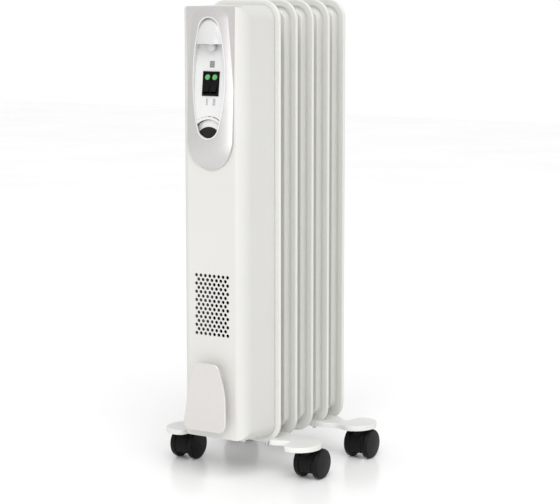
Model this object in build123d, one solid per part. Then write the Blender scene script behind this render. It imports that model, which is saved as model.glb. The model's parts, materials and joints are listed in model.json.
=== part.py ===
"""Oil filled radiator heater: five oil fins, a control housing, two feet and four twin-wheel casters.

The model is built about the first fin: X runs to the right as seen from the front, Y runs back from that
fin's middle plane, and Z is up from the floor. save() then moves each piece to the object's own origin,
which is the middle of its bounding box on the floor. All sizes are in millimetres.
"""

from build123d import *
import math
import os

os.makedirs("parts", exist_ok=True)

# Overall layout
length_over_all = 270.0
front_reach = 98.0
origin_shift = front_reach - length_over_all / 2
fin_count = 5
fin_pitch = 40.0
running_gap = 0.05
fit_gap = 0.3

# Oil fins
fin_width = 111.0
fin_height = 580.0
fin_bottom = 40.0
fin_middle = fin_bottom + fin_height / 2
fin_corner = 27.0
fin_sheet = 0.6
rim_width = 8.5
rim_depth = 2.4
rim_rounding = 1.9
channel_inset = 12.5
channel_depth = 7.0
channel_draft = 20
channel_rounding = 2.2
outer_valley_x = 30.3
outer_valley_width = 5.0
outer_valley_length = 530.0
middle_valley_width = 8.0
middle_valley_length = 390.0
header_inset = 42.0
header_low = fin_bottom + header_inset
header_high = fin_bottom + fin_height - header_inset
collar_end_radius = 20.0
collar_waist_radius = 17.0
header_bore = 13.0
oil_gap = 0.2
oil_level = 560.0

# Heating elements and header fittings
element_radius = 3.25
element_leg = 5.5
element_front = -22.0
element_pin_radius = 1.25
element_pin_length = 9.0
element_end = fin_pitch * (fin_count - 1) + 1.0
gasket_radius = 18.5
gasket_thickness = 1.0
plug_hex_across_flats = 34.0
plug_head_depth = 7.0
plug_neck_depth = 6.0
cap_radius = 17.0
cap_thickness = 1.5
cap_rounding = 1.0
filler_radius = 5.0
filler_head_height = 3.5
filler_thread_length = 3.0

# Control housing
housing_half_width = 48.0
housing_front = -77.0
housing_rear = -3.2
housing_sheet = 1.0
housing_rear_bottom = 46.5
housing_rear_top = 613.5
housing_front_bottom = 57.5
housing_front_top = 611.5
housing_rear_corner = 20.0
housing_front_corner = 12.0
housing_edge_x = 13.0
housing_edge_y = 19.0
vent_rows = 15
vent_columns = 8
vent_row_pitch = 5.4
vent_column_pitch = 6.9
vent_radius = 2.3
vent_middle = 231.3
screw_x = 24.0
screw_y = -40.0
screw_radius = 2.0
screw_length = 10.0
screw_head_radius = 3.8
screw_head_height = 2.2
screw_head_gap = 1.2
screw_slot_depth = 1.0
gland_x = 0.0
gland_y = -27.0
gland_radius = 6.5
gland_bore = 3.6
gland_flange = 2.0
gland_below = 4.0
gland_above = 8.0
gland_nut_above = 3.0
gland_nut_height = 3.0
bracket_sheet = 1.2
bracket_width = 8.0
bracket_lower_top = 120.0
bracket_upper_bottom = 540.0
bracket_clearance = 0.6
shield_y = -12.0
shield_sheet = 0.8

# Control panel: pearl surround, white fascia and visor
panel_top = 612.0
panel_side_top = 36.5
panel_side_low = 34.5
panel_tail_start = 446.5
panel_tip = 405.6
panel_skin = 2.0
panel_flange_y = -78.3
panel_crown_radius = 108.0
crown_axis_y = panel_crown_radius - 84.0
window_middle = 522.0
window_half_width = 25.3
window_half_height = 77.5
window_end_radius = 17.0
fascia_wall = 1.6
fascia_floor = 2.4
fascia_hollow_radius = 120.0
fascia_tilt = 6.4
fascia_y = -76.3
fascia_z = 515.0
visor_ledge = 565.0
visor_y = -74.5
visor_reach = 12.0
visor_skin = 2.0
visor_tab_radius = 5.0
visor_tab_x = 2.0
visor_tab_y = -79.5

# Switches
switch_width = 25.0
switch_height = 31.0
switch_flange = 1.8
switch_body_depth = 20.0
rocker_width = 9.2
rocker_length = 22.8
rocker_face = 4.9
rocker_pivot_radius = 1.2
rocker_offset = 5.5
rocker_angle = 10.0
rocker_pivot_depth = 2.5
rocker_hollow = 0.6
rocker_keel = 2.5
rocker_keel_inset = 6.4
rocker_end_slope = 0.8
switch_well_depth = 9.0
switch_core_margin = 2.4
spade_width = 4.8
spade_sheet = 0.8
spade_length = 8.0
spade_spacing = 8.0
lens_radius = 3.6
lens_dimple = 0.3
lens_rise = 7.6
lens_depth = 1.2

# Thermostat
dial_z = 441.6
dial_radius = 28.0
dial_cap_radius = 19.2
dial_edge_y = -78.2
dial_step_y = -80.6
dial_face_y = -83.2
dial_cap_edge = 1.6
dial_rim = 1.6
dial_rim_inset = 2.0
dial_hub_radius = 6.0
dial_hub_y = -73.0
shaft_radius = 3.0
shaft_front = -79.0
shaft_flat = 1.6
shaft_flat_end = -73.5
shaft_fit = 0.03
thermostat_front = -68.0
thermostat_width = 32.0
thermostat_height = 26.0
thermostat_depth = 22.0
thermostat_nose_radius = 5.0
thermostat_nose_length = 4.0

# Cord hook
hook_top = 158.0
hook_bottom = 70.0
hook_half_top = 18.5
hook_half_bottom = 33.5
hook_middle = 122.0
hook_half_middle = 29.0
hook_side_radius = 120.0
hook_corner = 10.0
hook_thickness = 2.8
hook_rounding = 1.2
hook_top_y = -91.0
hook_bottom_y = -95.49
hook_flare_radius = 260.0
neck_width = 30.0
neck_height = 46.0
neck_middle = 121.0
neck_wall = 2.5
neck_corner = 6.0

# Fittings inside the housing
terminal_width = 36.0
terminal_depth = 14.0
terminal_bottom = 150.0
terminal_top = 166.0
terminal_pitch = 12.0
terminal_hole_radius = 2.6
terminal_hole_depth = 6.0
cutout_z = 500.0
cutout_radius = 8.0
cutout_height = 7.0
cutout_boss_radius = 5.5
cutout_boss_height = 3.0
wire_radius = 1.4

# Feet
foot_half_length = 117.5
wing_shift = 7.0
foot_top = 48.0
foot_sheet = 1.5
foot_lip = 5.0
foot_edge = 1.2
foot_middle_x = 50.0
foot_neck_x = 75.0
front_middle = (-15.0, 33.0)
front_neck = (-7.0, 24.0)
rear_middle = (-23.5, 22.5)
rear_neck = (-17.0, 8.0)
wing_half_x = 24.5
wing_half_y = 29.0
front_foot_y = 0.0
rear_foot_y = 129.0
fin_slot_gap = 0.6
bolt_rod = 2.5
bolt_bend = collar_waist_radius + bolt_rod + 1.5
bolt_below = 18.0
wing_nut_height = 6.0
wing_nut_radius = 4.6
nut_wing_reach = 6.6
nut_wing_length = 7.5
nut_wing_height = 8.0
nut_wing_sheet = 1.8

# Casters
caster_x = 99.0
caster_trail = 8.0
wheel_radius = 20.0
wheel_inner = 9.7
wheel_outer = 19.0
wheel_tread = 15.0
hood_half_width = 9.3
hood_radius = 19.3
hood_top = 39.7
axle_radius = 2.5
axle_half_length = 16.5
stem_radius = 4.0
stem_bottom = 24.0
stem_collar_radius = 5.6
stem_collar_height = 1.0
socket_radius = 6.5
hood_rounding = 1.2
hood_cut_z = 9.5
hood_rear = 9.0
wheel_shoulder = 3.4
wheel_edge = 1.0
wheel_well_depth = 4.5
wheel_well_wall = 4.0


def save(name, *solids):
    """Write one node: one solid, or a group of separate identical ones."""
    shape = solids[0] if len(solids) == 1 else Compound(children=list(solids))
    export_step(Pos(0, origin_shift, 0) * shape, f"parts/{name}.step")


def facing_front(y=0.0):
    """A frame whose x is right, y is up and z points out of the object's front."""
    return Plane(origin=(0, y, 0), x_dir=(1, 0, 0), z_dir=(0, -1, 0)).location


def y_cylinder(radius, y_from, y_to, x=0.0, z=0.0):
    """A round bar along Y."""
    middle = (y_from + y_to) / 2
    return Pos(x, middle, z) * Rot(90, 0, 0) * Cylinder(radius, abs(y_to - y_from))


def x_cylinder(radius, x_from, x_to, y=0.0, z=0.0):
    """A round bar along X."""
    middle = (x_from + x_to) / 2
    return Pos(middle, y, z) * Rot(0, 90, 0) * Cylinder(radius, abs(x_to - x_from))


def z_cylinder(radius, z_from, z_to, x=0.0, y=0.0):
    """A round bar along Z."""
    return Pos(x, y, (z_from + z_to) / 2) * Cylinder(radius, z_to - z_from)


def block(x_range, y_range, z_range):
    """A box given by its three ranges."""
    size = [high - low for low, high in (x_range, y_range, z_range)]
    middle = [(high + low) / 2 for low, high in (x_range, y_range, z_range)]
    return Pos(*middle) * Box(*size)


def dome_arc(radius, edge, crest):
    """A shallow arc from an edge at a radius to its crest, which it meets squarely on the axis."""
    rise = crest - edge
    ball = (radius**2 + rise**2) / (2 * rise)
    halfway = crest - ball + math.sqrt(ball**2 - (radius / 2) ** 2)
    return ThreePointArc((radius, edge), (radius / 2, halfway), (0, crest))


# ---------------------------------------------------------------- oil fins


def fin_plate(inset, thickness):
    """A rounded plate of the fin's outline, less an inset, standing out from the fin's middle plane."""
    outline = RectangleRounded(fin_width - 2 * inset, fin_height - 2 * inset, fin_corner - inset)
    return Pos(0, fin_middle, 0) * extrude(outline, thickness)


def valley(x, width, length, base):
    """The cutter for one vertical valley between two oil channels, wider at the top."""
    slot = SlotOverall(length, width, rotation=90)
    return Pos(x, fin_middle, base) * extrude(slot, channel_depth, taper=-channel_draft)


def channels(skin):
    """The drawn oil channels of a half fin, with every face moved inwards by skin."""
    width = fin_width - 2 * (channel_inset + skin)
    height = fin_height - 2 * (channel_inset + skin)
    depth = channel_depth - skin
    outline = RectangleRounded(width, height, fin_corner - channel_inset - skin)
    form = Pos(0, fin_middle, 0) * extrude(outline, depth, taper=channel_draft)
    base = fin_sheet if skin == 0 else 0
    spread = 2 * skin - 2 * base * math.tan(math.radians(channel_draft))
    for x in (-outer_valley_x, outer_valley_x):
        form -= valley(x, outer_valley_width + spread, outer_valley_length + spread, base)
    form -= valley(0, middle_valley_width + spread, middle_valley_length + spread, base)
    crest = form.edges().filter_by_position(Axis.Z, depth - 0.01, depth + 0.01)
    return fillet(crest, channel_rounding - skin)


def half_fin():
    """One pressed half of a fin: hemmed rim, flat weld flange and drawn oil channels."""
    rim = fin_plate(0, rim_depth)
    rim = fillet(rim.edges().group_by(Axis.Z)[-1], rim_rounding)
    rim -= fin_plate(rim_width, rim_depth)
    half = rim + fin_plate(rim_width - 1, fin_sheet) + channels(0)
    half -= channels(fin_sheet)
    for z in (header_low, header_high):
        half -= Pos(0, z, 0) * Cylinder(header_bore, fin_pitch)
    return half


def front_half(shape, fin):
    """Place a half fin shape on the front of a fin."""
    return facing_front(fin * fin_pitch) * shape


def rear_half(shape, fin):
    """Place a half fin shape on the rear of a fin."""
    turned = mirror(facing_front() * shape, about=Plane.XZ)
    return Pos(0, fin * fin_pitch, 0) * turned


def make_fins():
    """Five fins of two welded halves each, and the waisted collars that join them into two headers."""
    half = half_fin()
    for fin in range(fin_count):
        save(f"fin_{fin + 1}_front", front_half(half, fin))
        save(f"fin_{fin + 1}_rear", rear_half(half, fin))
    collars = []
    for fin in range(fin_count - 1):
        start = fin * fin_pitch + channel_depth
        end = (fin + 1) * fin_pitch - channel_depth
        for z in (header_low, header_high):
            collars.append(collar(start, end, z))
    save("header_collars", *collars)


def collar(start, end, z):
    """One waisted collar between two fins."""
    middle = (start + end) / 2
    profile = make_face(
        Polyline(
            (header_bore, start),
            (collar_end_radius, start),
            (collar_waist_radius, middle),
            (collar_end_radius, end),
            (header_bore, end),
            close=True,
        )
    )
    return Pos(0, 0, z) * revolve(profile, Axis.Y)


# ---------------------------------------------------------------- elements, oil and header fittings


def element_path(z):
    """The U-shaped path of one heating element in the lower header."""
    bend = element_end - element_leg
    legs = Line((-element_leg, element_front, z), (-element_leg, bend, z))
    turn = ThreePointArc((-element_leg, bend, z), (0, element_end, z), (element_leg, bend, z))
    back = Line((element_leg, bend, z), (element_leg, element_front, z))
    return legs + turn + back


def element(z, radius):
    """One tubular element of the given radius, without its terminal pins."""
    start = Plane(origin=(-element_leg, element_front, z), z_dir=(0, 1, 0))
    return sweep(start * Circle(radius), path=element_path(z))


def element_heights():
    """The heights of the low and high element, one above the other."""
    return (header_low - element_leg, header_low + element_leg)


def make_elements():
    """Two U-shaped elements, and the hexagon plug and gasket that close the lower header."""
    elements = []
    for z in element_heights():
        tube = element(z, element_radius)
        for x in (-element_leg, element_leg):
            pin_end = element_front - element_pin_length
            tube += y_cylinder(element_pin_radius, pin_end, element_front + 1, x, z)
        elements.append(tube)
    save("heating_elements", *elements)
    face = -channel_depth - gasket_thickness
    hexagon = RegularPolygon(plug_hex_across_flats / 2, 6, major_radius=False)
    head = facing_front(face) * Pos(0, header_low, 0) * extrude(hexagon, plug_head_depth)
    plug = head + y_cylinder(header_bore - 0.1, face, face + plug_neck_depth, 0, header_low)
    for z in element_heights():
        for x in (-element_leg, element_leg):
            plug -= y_cylinder(element_radius + running_gap, face - 20, face + 20, x, z)
    save("element_plug", plug)
    ring = y_cylinder(gasket_radius, face, -channel_depth, 0, header_low)
    save("element_gasket", ring - y_cylinder(header_bore, face - 1, 0, 0, header_low))


def make_oil():
    """The oil that fills the fins and headers, up to its cold level."""
    form = channels(fin_sheet + oil_gap)
    last = fin_count - 1
    oil = front_half(form, 0) + rear_half(form, 0)
    for fin in range(1, fin_count):
        oil += front_half(form, fin) + rear_half(form, fin)
    reach = fin_pitch * last
    for z in (header_low, header_high):
        oil += y_cylinder(header_bore - oil_gap, 0, reach, 0, z)
    for z in element_heights():
        oil -= element(z, element_radius + oil_gap)
    plug_end = plug_neck_depth - channel_depth - gasket_thickness + oil_gap
    oil -= y_cylinder(header_bore + 1, -channel_depth, plug_end, 0, header_low)
    above = block((-fin_width, fin_width), (-fin_pitch, reach + fin_pitch), (oil_level, 2 * oil_level))
    save("oil_charge", oil - above)


def make_header_caps():
    """Welded discs that close the unused headers, and the filler plug in the upper rear one."""
    front_face = -channel_depth
    rear_face = fin_pitch * (fin_count - 1) + channel_depth
    caps = []
    for inner, outwards, z in (
        (front_face, -1, header_high),
        (rear_face, 1, header_low),
        (rear_face, 1, header_high),
    ):
        outer = inner + outwards * cap_thickness
        cap = y_cylinder(cap_radius, inner, outer, 0, z)
        edge = cap.edges().filter_by_position(Axis.Y, outer - 0.01, outer + 0.01)
        caps.append(fillet(edge, cap_rounding))
    caps[2] -= y_cylinder(filler_radius / 2, rear_face - 1, rear_face + 5, 0, header_high)
    save("header_caps", *caps)
    outer = rear_face + cap_thickness
    head = RegularPolygon(filler_radius, 6, major_radius=False)
    plug = facing_front(outer + filler_head_height) * extrude(head, filler_head_height)
    thread_start = rear_face - filler_thread_length
    plug = Pos(0, 0, header_high) * plug
    plug += y_cylinder(filler_radius / 2 - running_gap, thread_start, outer, 0, header_high)
    save("filler_plug", plug)


# ---------------------------------------------------------------- control housing


def housing_form(skin):
    """The outer form of the control housing, with every face moved inwards by skin."""
    side = housing_half_width - skin
    front = housing_front + skin
    rear_height = housing_rear_top - housing_rear_bottom - 2 * skin
    front_height = housing_front_top - housing_front_bottom - 2 * skin
    rear_z = (housing_rear_top + housing_rear_bottom) / 2
    front_z = (housing_front_top + housing_front_bottom) / 2
    rear_outline = RectangleRounded(2 * side, rear_height, housing_rear_corner - skin)
    front_outline = RectangleRounded(2 * side, front_height, housing_front_corner - skin)
    rear_face = facing_front(housing_rear) * Pos(0, rear_z, 0) * rear_outline
    front_face = facing_front(front) * Pos(0, front_z, 0) * front_outline
    form = loft([rear_face, front_face], ruled=True)
    edge_x = housing_edge_x - skin
    edge_y = housing_edge_y - skin
    flat = side - edge_x
    shoulder = front + edge_y
    path = [
        Line((-side, housing_rear), (-side, shoulder)),
        EllipticalCenterArc((-flat, shoulder), edge_x, edge_y, 180, arc_size=90),
        Line((-flat, front), (flat, front)),
        EllipticalCenterArc((flat, shoulder), edge_x, edge_y, 270, arc_size=90),
        Line((side, shoulder), (side, housing_rear)),
        Line((side, housing_rear), (-side, housing_rear)),
    ]
    plan = extrude(make_face(path), 2 * housing_rear_top)
    return form & plan


def panel_outline(inset):
    """The outline of the pearl surround on the housing's front: flat top, straight sides, oval tail."""
    top = panel_side_top - inset
    low = panel_side_low - inset
    tip = panel_tip + inset
    path = [
        Line((-low, panel_tail_start), (-top, panel_top - inset)),
        Line((-top, panel_top - inset), (top, panel_top - inset)),
        Line((top, panel_top - inset), (low, panel_tail_start)),
        EllipticalCenterArc((0, panel_tail_start), low, panel_tail_start - tip, 180, arc_size=180),
    ]
    return make_face(path)


def oval(inset, extra=0.0):
    """The window's oval: two end arcs joined by two flat side arcs, grown or shrunk evenly."""
    half_width = window_half_width - inset + extra
    half_height = window_half_height - inset + extra
    end = window_end_radius - inset + extra
    side = half_width**2 + half_height**2 - 2 * half_height * end
    side /= 2 * (half_width - end)
    centre_z = half_height - end
    lean = math.atan2(centre_z, side - half_width)
    join_x = end * math.cos(lean)
    join_z = centre_z + end * math.sin(lean)
    path = [
        ThreePointArc((join_x, join_z), (0, half_height), (-join_x, join_z)),
        ThreePointArc((-join_x, join_z), (-half_width, 0), (-join_x, -join_z)),
        ThreePointArc((-join_x, -join_z), (0, -half_height), (join_x, -join_z)),
        ThreePointArc((join_x, -join_z), (half_width, 0), (join_x, join_z)),
    ]
    return Pos(0, window_middle) * make_face(path)


def prism(outline, y_from, y_to):
    """An outline in x and z, extruded along Y."""
    return facing_front(max(y_from, y_to)) * extrude(outline, abs(y_to - y_from))


def crowned(lift):
    """The surround's crowned block: its middle line swells towards the dial, moved forwards by lift."""
    stations = [
        (panel_top + 4, -76.0),
        (panel_top - 2, -78.6),
        (603.0, -81.2),
        (594.0, -82.0),
        (560.0, -82.8),
        (522.0, -83.8),
        (480.0, -85.0),
        (446.0, -86.0),
        (428.0, -85.4),
        (414.0, -81.4),
        (panel_tip - 1, -75.6),
        (panel_tip - 8, -70.0),
    ]
    outer = [(crown_axis_y - y + lift, z) for z, y in stations]
    core = panel_crown_radius / 2
    rest = Polyline(outer[-1], (core, outer[-1][1]), (core, outer[0][1]), outer[0])
    profile = Plane.XZ * make_face([Spline(*outer), rest])
    return Pos(0, crown_axis_y, 0) * revolve(profile, Axis.Z)


def fascia_plane():
    """The leaning plane of the fascia: x right, y up along it, z out of it."""
    lean = math.radians(fascia_tilt)
    normal = (0, -math.cos(lean), math.sin(lean))
    return Plane(origin=(0, fascia_y, fascia_z), x_dir=(1, 0, 0), z_dir=normal)


def hollow_bar(radius):
    """The long cylinder whose wall is the fascia's hollow face."""
    bar = Rot(90, 0, 0) * Cylinder(radius, 4 * window_half_height)
    return fascia_plane().location * Pos(0, 0, fascia_hollow_radius) * bar


def hook_form(lift):
    """The flared plate of the cord hook, moved forwards by lift, between its two curved faces."""
    top_y = hook_top_y - lift
    bottom_y = hook_bottom_y - lift
    top = (top_y, hook_top)
    bottom = (bottom_y, hook_bottom)
    face = RadiusArc(top, bottom, hook_flare_radius)
    rest = Polyline(bottom, (-60, bottom[1]), (-60, top[1]), top)
    side = make_face([face, rest])
    across = Plane(origin=(-50, 0, 0), x_dir=(0, 1, 0), z_dir=(1, 0, 0)).location
    return across * extrude(side, 100)


def hook_neck(wall, y_from, y_to):
    """The hook's hollow neck, or its inside when wall is its thickness."""
    outline = RectangleRounded(neck_width - 2 * wall, neck_height - 2 * wall, neck_corner - wall)
    return prism(Pos(0, neck_middle) * outline, y_from, y_to)


def make_housing():
    """The housing's pressed shell with its window, vent grille and bottom holes."""
    shell = housing_form(0) - housing_form(housing_sheet)
    shell -= prism(oval(0, 1.2), housing_front - 5, housing_front + 15)
    shell -= y_cylinder(dial_radius + 1.5, housing_front - 5, housing_front + 5, 0, dial_z)
    holes = []
    for row in range(vent_rows):
        columns = vent_columns - row % 2
        z = vent_middle + (row - (vent_rows - 1) / 2) * vent_row_pitch
        for column in range(columns):
            x = (column - (columns - 1) / 2) * vent_column_pitch
            holes.append(y_cylinder(vent_radius, housing_front - 3, housing_front + 5, x, z))
    shell -= holes
    shell -= hook_neck(neck_wall, housing_front - 5, housing_front + 5)
    for x in (-screw_x, screw_x):
        shell -= z_cylinder(screw_radius + 0.3, 40, 60, x, screw_y)
    shell -= z_cylinder(gland_radius + fit_gap, 40, 65, gland_x, gland_y)
    save("housing_shell", shell)


def make_gland():
    """The bush in the housing's bottom that the supply lead would come out of."""
    bottom = bottom_height(gland_y)
    lower_end = bottom - gland_below
    nut = bottom + gland_nut_above
    wide = gland_radius + gland_flange
    gland = z_cylinder(gland_radius, lower_end, bottom + gland_above, gland_x, gland_y)
    gland += z_cylinder(wide, lower_end, lower_end + gland_flange, gland_x, gland_y)
    gland += z_cylinder(wide, nut, nut + gland_nut_height, gland_x, gland_y)
    save("cord_gland", gland - z_cylinder(gland_bore, 0, 2 * bottom, gland_x, gland_y))


def bottom_height(y):
    """The height of the housing's sloping bottom at a given y."""
    share = (y - housing_rear) / (housing_front - housing_rear)
    return housing_rear_bottom + share * (housing_front_bottom - housing_rear_bottom)


def make_brackets():
    """The shield behind the housing, the two brackets that carry it, and its screws."""
    shield = RectangleRounded(2 * housing_half_width - 8, fin_height - 40, 15)
    plate = prism(Pos(0, fin_middle) * shield, shield_y, shield_y + shield_sheet)
    for z in (header_low, header_high):
        plate -= y_cylinder(gasket_radius + 4, shield_y - 5, 0, 0, z)
    save("heat_shield", plate)
    weld = (-channel_depth - bracket_sheet, -channel_depth)
    half = bracket_width / 2
    tab_z = bottom_height(screw_y - half) + housing_sheet + bracket_clearance
    brackets = []
    for x in (-screw_x, screw_x):
        lower = block((x - half, x + half), weld, (tab_z + 1, bracket_lower_top))
        lower += block((x - half, x + half), (screw_y - half, weld[1]), (tab_z, tab_z + bracket_sheet))
        lower -= z_cylinder(screw_radius + 0.1, tab_z - 5, tab_z + 5, x, screw_y)
        brackets.append(lower)
    top_z = housing_rear_top - housing_sheet - 2.0
    for x in (-screw_x, screw_x):
        upper = block((x - half, x + half), weld, (bracket_upper_bottom, top_z))
        upper += block((x - half, x + half), (screw_y, weld[1]), (top_z - bracket_sheet, top_z))
        brackets.append(upper)
    save("housing_brackets", *brackets)
    wall = bottom_height(screw_y)
    head_top = wall - screw_head_gap
    head_bottom = head_top - screw_head_height
    screws = []
    for x in (-screw_x, screw_x):
        screw = z_cylinder(screw_radius, head_top, wall + screw_length, x, screw_y)
        screw += z_cylinder(screw_head_radius, head_bottom, head_top, x, screw_y)
        slot_z = (head_bottom - 1, head_bottom + screw_slot_depth)
        screw -= block((x - 3, x + 3), (screw_y - 0.5, screw_y + 0.5), slot_z)
        screws.append(screw)
    save("housing_screws", *screws)


def make_hook():
    """The cord hook: a flared plate held off the housing by a hollow neck."""
    corners = [(hook_half_top, hook_top), (hook_half_middle, hook_middle), (hook_half_bottom, hook_bottom)]
    mirrored = [(-x, z) for x, z in reversed(corners)]
    outline = make_face(Polyline(*corners, *mirrored, close=True))
    heights = outline.vertices().group_by(Axis.Y)
    outline = fillet(heights[1], hook_side_radius)
    heights = outline.vertices().group_by(Axis.Y)
    outline = fillet(heights[0] + heights[-1], hook_corner)
    plate = hook_form(hook_thickness) & prism(outline, housing_front, -120)
    plate -= hook_form(0)
    plate = fillet(plate.faces().sort_by(Axis.Y)[0].edges(), hook_rounding)
    neck = hook_neck(0, housing_front, -120) & hook_form(0.5)
    hook = plate + neck
    hook -= hook_neck(neck_wall, housing_front + 1, -100) & hook_form(-0.5)
    save("cord_hook", hook)


# ---------------------------------------------------------------- control panel


def make_panel():
    """The pearl surround, the white leaning fascia in its window and the visor above."""
    cut = prism(oval(0, 0.15), -120, -40)
    flange = block((-60, 60), (panel_flange_y, -60), (panel_tip - 10, panel_top + 10))
    outer = (crowned(0) + flange) & prism(panel_outline(0), -120, -60)
    inner = crowned(-panel_skin) & prism(panel_outline(panel_skin), -120, -60)
    surround = outer - inner - cut - housing_form(0)
    save("surround", surround)

    cup = crowned(0.5) & prism(oval(0), -120, -64)
    hollow = hollow_bar(fascia_hollow_radius) & prism(oval(fascia_wall), -120, -40)
    behind = prism(oval(fascia_wall), -120, -60) - hollow_bar(fascia_hollow_radius + fascia_floor)
    fascia = cup - hollow - behind
    fascia -= y_cylinder(dial_radius + 0.6, dial_face_y - 0.8, -60, 0, dial_z)
    plane = fascia_plane().location
    fascia -= plane * Pos(0, 0, 4) * Box(switch_width + 0.6, switch_height + 0.6, 8)
    fascia -= plane * Box(switch_width - 2, switch_height - 3, 20)
    save("fascia", fascia)

    inside = block((-40, 40), (-120, -60), (visor_ledge + visor_skin, 640))
    dome = visor_dome(0) - (visor_dome(visor_skin) & inside)
    room = prism(oval(fascia_wall + 0.15), -120, -60)
    above = block((-40, 40), (-120, -60), (visor_ledge, 640))
    visor = dome & room & above
    visor -= block((-40, 40), (visor_y + visor_skin, -60), (visor_ledge, 640))
    visor += y_cylinder(visor_tab_radius, visor_tab_y, visor_y, visor_tab_x, visor_ledge - 4)
    save("visor", visor)


def visor_dome(skin):
    """The half ball of the visor, stretched to the window's width and height."""
    width = window_half_width - fascia_wall - 0.5 - skin
    height = window_middle + window_half_height - visor_ledge - fascia_wall - skin
    reach = visor_reach - skin
    ball = scale(Sphere(1), by=(width, reach, height))
    ball = Pos(0, visor_y, visor_ledge) * ball
    rear = scale(Cylinder(1, 1), by=(width, height, 2 * visor_skin))
    return ball + Pos(0, visor_y, visor_ledge) * Rot(90, 0, 0) * rear


def make_switch():
    """The double rocker switch: its body, two rockers and their green lenses."""
    place = fascia_plane().location
    flange = Pos(0, 0, switch_flange / 2) * Box(switch_width, switch_height, switch_flange)
    flange = fillet(flange.edges().group_by(Axis.Z)[-1], 0.6)
    depth = switch_body_depth
    core_size = (switch_width - switch_core_margin, switch_height - switch_core_margin - 1, depth)
    core = Pos(0, 0, -depth / 2) * Box(*core_size)
    body = flange + core
    for side in (-1, 1):
        x = side * rocker_offset
        well = Box(rocker_width + 0.4, rocker_length + 2.4, switch_well_depth)
        body -= Pos(x, 0, switch_flange - switch_well_depth / 2) * well
        bore = Rot(0, 90, 0) * Cylinder(rocker_pivot_radius + running_gap, rocker_width + 2)
        body -= Pos(x, 0, -rocker_pivot_depth) * bore
        for y in (-spade_spacing, 0, spade_spacing):
            spade = Box(spade_sheet, spade_width, spade_length + 0.2)
            body += Pos(x, y, -depth - spade_length / 2) * spade
    save("switch_body", place * body)
    pivot = place * Pos(0, 0, -rocker_pivot_depth) * Rot(-rocker_angle, 0, 0)
    for name, side in (("left", -1), ("right", 1)):
        x = side * rocker_offset
        save(f"rocker_{name}", pivot * Pos(x, 0, 0) * rocker())
        save(f"rocker_lens_{name}", pivot * Pos(x, 0, 0) * rocker_lens(0))


def rocker():
    """One rocker about its pivot, drawn level: a slightly hollow face on a short rounded keel."""
    half = rocker_length / 2
    profile = Polyline(
        (half, rocker_face),
        (0, rocker_face - rocker_hollow),
        (-half, rocker_face),
        (-half + rocker_end_slope, 0.5),
        (-half + rocker_keel_inset, -rocker_keel),
        (half - rocker_keel_inset, -rocker_keel),
        (half - rocker_end_slope, 0.5),
        close=True,
    )
    across = Plane(origin=(-rocker_width / 2, 0, 0), x_dir=(0, 1, 0), z_dir=(1, 0, 0)).location
    form = across * extrude(make_face(profile), rocker_width)
    form += Rot(0, 90, 0) * Cylinder(rocker_pivot_radius, rocker_width + 1.6)
    return form - rocker_lens(running_gap)


def rocker_lens(grow):
    """The round lens let into the upper half of a rocker's face, or its seat when it is grown."""
    top = rocker_face + 0.2
    base = rocker_face - lens_depth
    lens = Pos(0, lens_rise, (top + base) / 2) * Cylinder(lens_radius + grow, top - base + 2 * grow)
    if grow:
        return lens
    lens -= Pos(0, lens_rise, top) * Cylinder(lens_radius * 0.4, 2 * lens_dimple)
    return fillet(lens.edges().group_by(Axis.Z)[-1], 0.25)


def make_thermostat():
    """The thermostat with its shaft, and the two-piece dial on it."""
    rear = thermostat_front + thermostat_depth
    half_width = thermostat_width / 2
    half_height = thermostat_height / 2
    height = (dial_z - half_height, dial_z + half_height)
    nose = thermostat_front - thermostat_nose_length
    body = block((-half_width, half_width), (thermostat_front, rear), height)
    body += y_cylinder(thermostat_nose_radius, nose, thermostat_front, 0, dial_z)
    body -= y_cylinder(shaft_radius + running_gap, nose - 2, thermostat_front + 8, 0, dial_z)
    spade_z = (dial_z - spade_sheet / 2, dial_z + spade_sheet / 2)
    for x in (-spade_spacing, spade_spacing):
        body += block((x - 3, x + 3), (rear, rear + spade_length), spade_z)
    save("thermostat_body", body)
    shaft = y_cylinder(shaft_radius, shaft_front, thermostat_front + 7, 0, dial_z)
    shaft -= block((-4, 4), (shaft_front - 1, shaft_flat_end), (dial_z + shaft_flat, dial_z + 4))
    save("dial_shaft", shaft)
    rim = -dial_edge_y - dial_rim
    floor = rim - 1.4
    profile = Polyline(
        (0, -dial_step_y - 0.2),
        (dial_cap_radius, -dial_step_y),
        (dial_radius, -dial_edge_y),
        (dial_radius, rim),
        (dial_radius - dial_rim_inset, floor),
        (dial_hub_radius, floor),
        (dial_hub_radius, -dial_hub_y),
        (0, -dial_hub_y),
        close=True,
    )
    half = Plane(origin=(0, 0, dial_z), x_dir=(1, 0, 0), z_dir=(0, 0, 1)).location
    axis = Axis((0, 0, dial_z), (0, 1, 0))
    skirt = revolve(half * mirror(make_face(profile), about=Plane.XZ), axis)
    save("dial_skirt", skirt - shaft_socket())
    base = -dial_step_y
    edge = base + dial_cap_edge
    cap_face = make_face(
        [
            Line((0, base), (dial_cap_radius, base)),
            Line((dial_cap_radius, base), (dial_cap_radius, edge)),
            dome_arc(dial_cap_radius, edge, -dial_face_y),
            Line((0, -dial_face_y), (0, base)),
        ]
    )
    cap = revolve(half * mirror(cap_face, about=Plane.XZ), axis)
    save("dial_cap", cap)


def shaft_socket():
    """The flatted hole in the dial that fits the shaft."""
    hole = y_cylinder(shaft_radius + shaft_fit, shaft_front - 0.1, dial_hub_y + 3, 0, dial_z)
    flat = dial_z + shaft_flat + shaft_fit
    return hole - block((-4, 4), (shaft_front - 1, shaft_flat_end - 0.1), (flat, dial_z + 5))


# ---------------------------------------------------------------- inside the housing


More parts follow.
